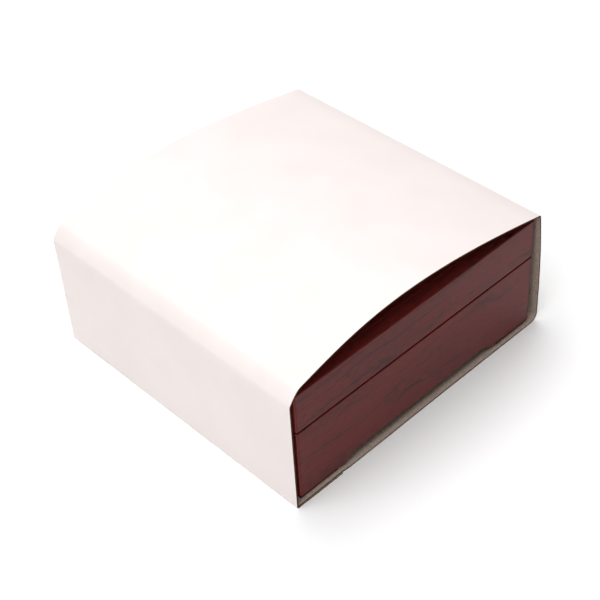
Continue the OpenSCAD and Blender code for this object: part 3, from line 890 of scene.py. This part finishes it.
def strip_bar(start, end, inward, thick, plain_z, folded_z, steps=40):
    """Points of one covered strip, a thin board with fabric folded over one long edge.

    The second value is the number of points round it.
    """
    radius = thick / 2
    down = 1 if folded_z > plain_z else -1
    turn_z = folded_z - down * radius
    profile = [(0.0, plain_z), (0.0, turn_z)]
    turns = [math.pi * i / 8 for i in range(1, 8)]
    profile += [(radius - radius * math.cos(a), turn_z + down * radius * math.sin(a)) for a in turns]
    profile += [(thick, turn_z), (thick, (plain_z + turn_z) / 2), (thick, plain_z)]
    points = []
    for i in range(steps + 1):
        place = start.lerp(end, i / steps)
        wave = 0.05 * MM * noise.noise(place * per(6.25 * MM))
        ends = 0.25 * MM if i in (0, steps) else 0.0
        for out, z in profile:
            lift = wave if out > 0 else 0.0
            slim = min(max(out, ends), thick - ends) + lift
            points.append(place + inward * slim + Vector((0, 0, z)))
    return points, len(profile)


def covered_strips(name, node, body, made, thick, fold_up):
    """Four strips round the inside walls, as one piece."""
    low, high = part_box(node)
    plain_z, folded_z = (low.z, high.z) if fold_up else (high.z, low.z)
    corner_gap = 0.1 * MM
    runs = []
    for side in (-1, 1):
        y = high.y * side
        runs.append((Vector((low.x, y, 0)), Vector((high.x, y, 0)), Vector((0, -side, 0))))
        x, reach = high.x * side, high.y - thick - corner_gap
        runs.append((Vector((x, -reach, 0)), Vector((x, reach, 0)), Vector((-side, 0, 0))))
    points, faces = [], []
    for start, end, inward in runs:
        first = len(points)
        bar, around = strip_bar(start, end, inward, thick, plain_z, folded_z)
        points += bar
        count = len(bar) // around
        flip = ((end - start).cross(inward).z > 0) != fold_up
        own = ring_faces(count, around)
        own += [tuple(range(around))[::-1], tuple(range((count - 1) * around, count * around))]
        faces += [tuple(first + i for i in (f[::-1] if flip else f)) for f in own]
    piece = new_piece(name, points, faces, [made])
    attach(piece, body)
    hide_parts(node)


def puffed(piece, held, lining, scale=10.0):
    """Swells a closed mesh as cloth over foam. It runs at a larger scale, where the solver is steady."""
    mesh = piece.data
    count = len(mesh.vertices)
    rest = np.zeros(count * 3)
    mesh.vertices.foreach_get("co", rest)
    rest = rest.reshape(-1, 3)
    mesh.vertices.foreach_set("co", (rest * scale).ravel())
    group = piece.vertex_groups.new(name="held")
    group.add([int(i) for i in held], 1.0, "REPLACE")
    modifier = piece.modifiers.new("puff", "CLOTH")
    cloth = modifier.settings
    cloth.quality = 6
    cloth.mass = 0.2
    cloth.tension_stiffness = cloth.compression_stiffness = 12
    cloth.shear_stiffness = 6
    cloth.bending_stiffness = 0.4
    cloth.vertex_group_mass = "held"
    cloth.use_pressure = True
    cloth.uniform_pressure_force = 5.0
    cloth.shrink_min = cloth.shrink_max = -0.05
    cloth.effector_weights.gravity = 0
    modifier.point_cache.frame_start, modifier.point_cache.frame_end = 1, lining.frames
    scene = bpy.context.scene
    for number in range(1, lining.frames + 1):
        scene.frame_set(number)
    shaped = piece.evaluated_get(bpy.context.evaluated_depsgraph_get()).to_mesh()
    moved = np.zeros(count * 3)
    shaped.vertices.foreach_get("co", moved)
    piece.to_mesh_clear()
    piece.modifiers.remove(modifier)
    scene.frame_set(1)
    shift = moved.reshape(-1, 3) / scale - rest
    size = np.linalg.norm(shift, axis=1, keepdims=True)
    shift *= np.minimum(1, lining.puff / np.maximum(size, 1e-9))
    mesh.vertices.foreach_set("co", (rest + shift).ravel())
    mesh.update()


class COINCASE_OT_cover_strips(Operator):
    """Line the inside walls with velvet in the base and satin in the lid, and felt under the floor"""

    bl_idname = "coincase.cover_strips"
    bl_label = "Strips and felt"

    def execute(self, context):
        lining = context.scene.coincase_lining
        covered_strips("base_velvet_strips", "base_liner_strips", "base",
                       bpy.data.materials["woven_velvet"], lining.strip, True)
        covered_strips("lid_satin_strips", "lid_liner_strips", "lid",
                       woven_satin(lining), lining.strip, False)
        self.felt()
        return {"FINISHED"}

    def felt(self):
        low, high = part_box("base_felt")
        count, ease = 44, 0.2 * MM
        frays, waves = 900, 500  # in a metre

        def place(i, j, z, inset):
            x = low.x + inset + (high.x - low.x - 2 * inset) * i / count
            y = low.y + inset + (high.y - low.y - 2 * inset) * j / count
            edge = i in (0, count) or j in (0, count)
            ragged = 0.08 * MM * noise.noise(Vector((x, y, z)) * frays) if edge else 0.0
            wave = 0.05 * MM * noise.noise(Vector((x, y, 0)) * waves) if z == low.z else 0.0
            return (x - ragged * (i == count) + abs(ragged) * (i == 0),
                    y - abs(ragged) * (j == count) + abs(ragged) * (j == 0), z + wave)

        sheet = [(i, j) for i in range(count + 1) for j in range(count + 1)]
        rim, layer = lattice_rim(count), len(sheet)
        points = [place(i, j, high.z, 0.0) for i, j in sheet]
        points += [place(i, j, low.z, ease) for i, j in sheet]
        points += [place(*sheet[k], low.z + ease, 0.0) for k in rim]
        turn = [2 * layer + k for k in range(len(rim))]
        faces = lattice(count, 0, False) + lattice(count, layer, True)
        faces += join_rings(turn, rim) + join_rings([layer + k for k in rim], turn)
        piece = new_piece("felt_underlay", points, faces, [pressed_felt()])
        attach(piece, "base")
        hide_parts("base_felt")


class COINCASE_OT_puff_satin(Operator):
    """Puff the satin pad of the lid over its foam"""

    bl_idname = "coincase.puff_satin"
    bl_label = "Satin pad"

    def execute(self, context):
        lining = context.scene.coincase_lining
        low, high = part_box("lid_satin_pad")
        count, rings = 76, 5
        corner, slim = 2.4 * MM, 0.15 * MM
        grid = np.linspace(-1, 1, count + 1)

        def place(u, v, z, inset):
            wide, deep = high.x - inset, high.y - inset
            x, y = u * wide, v * deep
            over = Vector((max(abs(x) - wide + corner, 0), max(abs(y) - deep + corner, 0)))
            if over.length > corner:
                pull = over * (corner / over.length)
                x = math.copysign(abs(x) - over.x + pull.x, x)
                y = math.copysign(abs(y) - over.y + pull.y, y)
            return x, y, z

        points = [place(u, v, high.z, 0.0) for u in grid for v in grid]
        held, layer = list(range(len(points))), len(points)
        points += [place(u, v, low.z + slim, slim) for u in grid for v in grid]
        faces = lattice(count, 0, True) + lattice(count, layer, False)
        edge = lattice_rim(count)
        previous = [layer + a for a in edge]
        for step in range(1, rings):
            ring = list(range(len(points), len(points) + len(edge)))
            points += [tuple(Vector(points[layer + a]).lerp(Vector(points[a]), step / rings)) for a in edge]
            faces += join_rings(previous, ring)
            previous = ring
        faces += join_rings(previous, edge)
        satin = bpy.data.materials["woven_satin"]
        piece = new_piece("satin_pad", points, faces, [satin], sharp=math.radians(80))
        puffed(piece, held, lining)
        smooth = piece.modifiers.new("smooth", "SUBSURF")
        smooth.levels = smooth.render_levels = 1
        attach(piece, "lid")
        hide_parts("lid_satin_pad")
        return {"FINISHED"}


# Stage


def heading(azimuth, elevation):
    """Direction from the case, counted from the front round to the right, and up."""
    return Vector((math.sin(azimuth) * math.cos(elevation), -math.cos(azimuth) * math.cos(elevation),
                   math.sin(elevation)))


class COINCASE_OT_set_stage(Operator):
    """Lay a plain pale floor, and place the camera and three softboxes"""

    bl_idname = "coincase.set_stage"
    bl_label = "Stage"

    def execute(self, context):
        stage = context.scene.coincase_stage
        self.camera(context, stage)
        self.floor(context, stage)
        self.lights(context, stage)
        return {"FINISHED"}

    def camera(self, context, stage):
        azimuth, elevation, roll = stage.azimuth, stage.elevation, stage.roll
        back = heading(azimuth, elevation)
        right = Vector((math.cos(azimuth), math.sin(azimuth), 0))
        up = back.cross(right)
        right, up = (right * math.cos(roll) + up * math.sin(roll),
                     up * math.cos(roll) - right * math.sin(roll))
        place = Vector(stage.target) + back * stage.distance
        data = bpy.data.cameras.new("camera")
        data.lens, data.sensor_width = stage.lens, 36
        data.clip_start, data.clip_end = 0.02, 20
        camera = bpy.data.objects.new("camera", data)
        camera.matrix_world = Matrix((right, up, back)).transposed().to_4x4()
        camera.location = place
        context.scene.collection.objects.link(camera)
        context.scene.camera = camera

    def floor(self, context, stage):
        half, z = 4.0, -0.05 * MM
        corners = [(-half, -half, z), (half, -half, z), (half, half, z), (-half, half, z)]
        new_piece("floor", corners, [(0, 1, 2, 3)], [matt_paint(stage.floor)])

    def lights(self, context, stage):
        for name, azimuth, power in (("left", math.radians(-90), stage.left_power),
                                     ("rear", math.radians(135), stage.rear_power),
                                     ("front", math.radians(-45), stage.front_power)):
            data = bpy.data.lights.new(name + "_softbox", "AREA")
            data.shape, data.size, data.energy = "SQUARE", stage.softbox, power
            light = bpy.data.objects.new(name + "_softbox", data)
            light.location = stage.softbox_distance * heading(azimuth, stage.softbox_height)
            light.rotation_mode = "QUATERNION"
            light.rotation_quaternion = Vector(light.location).to_track_quat("Z", "Y")
            context.scene.collection.objects.link(light)
        world = bpy.data.worlds.new("white_surroundings")
        world.use_nodes = True
        sky = world.node_tree.nodes["Background"]
        sky.inputs["Color"].default_value = linear("#FFFFFF")
        sky.inputs["Strength"].default_value = stage.fill
        context.scene.world = world
        context.scene.view_settings.view_transform = "Standard"


class COINCASE_PT_panel(Panel):
    """Lists the pieces of the coin case"""

    bl_idname = "COINCASE_PT_panel"
    bl_label = "Coin Case"
    bl_space_type = "VIEW_3D"
    bl_region_type = "UI"
    bl_category = "Coin Case"

    def draw(self, context):
        for operator in OPERATORS:
            self.layout.operator(operator.bl_idname)
        for name in SETTINGS:
            group = getattr(context.scene, name)
            box = self.layout.box()
            for key in group.__annotations__:
                box.prop(group, key)


SETTINGS = {
    "coincase_wood": CaseWoodSettings,
    "coincase_sleeve": SleeveSettings,
    "coincase_lining": LiningSettings,
    "coincase_stage": StageSettings,
}
OPERATORS = (
    COINCASE_OT_set_stage,
    COINCASE_OT_lacquer_wood,
    COINCASE_OT_finish_boards,
    COINCASE_OT_finish_metal,
    COINCASE_OT_fold_sleeve,
    COINCASE_OT_pad_tray,
    COINCASE_OT_cover_strips,
    COINCASE_OT_puff_satin,
)


def register():
    for cls in (*SETTINGS.values(), *OPERATORS, COINCASE_PT_panel):
        bpy.utils.register_class(cls)
    for name, cls in SETTINGS.items():
        setattr(bpy.types.Scene, name, PointerProperty(type=cls))


def unregister():
    for name in SETTINGS:
        delattr(bpy.types.Scene, name)
    for cls in reversed((*SETTINGS.values(), *OPERATORS, COINCASE_PT_panel)):
        bpy.utils.unregister_class(cls)


def main():
    register()
    for operator in OPERATORS:
        group, name = operator.bl_idname.split(".")
        getattr(getattr(bpy.ops, group), name)()


if __name__ == "__main__":
    main()
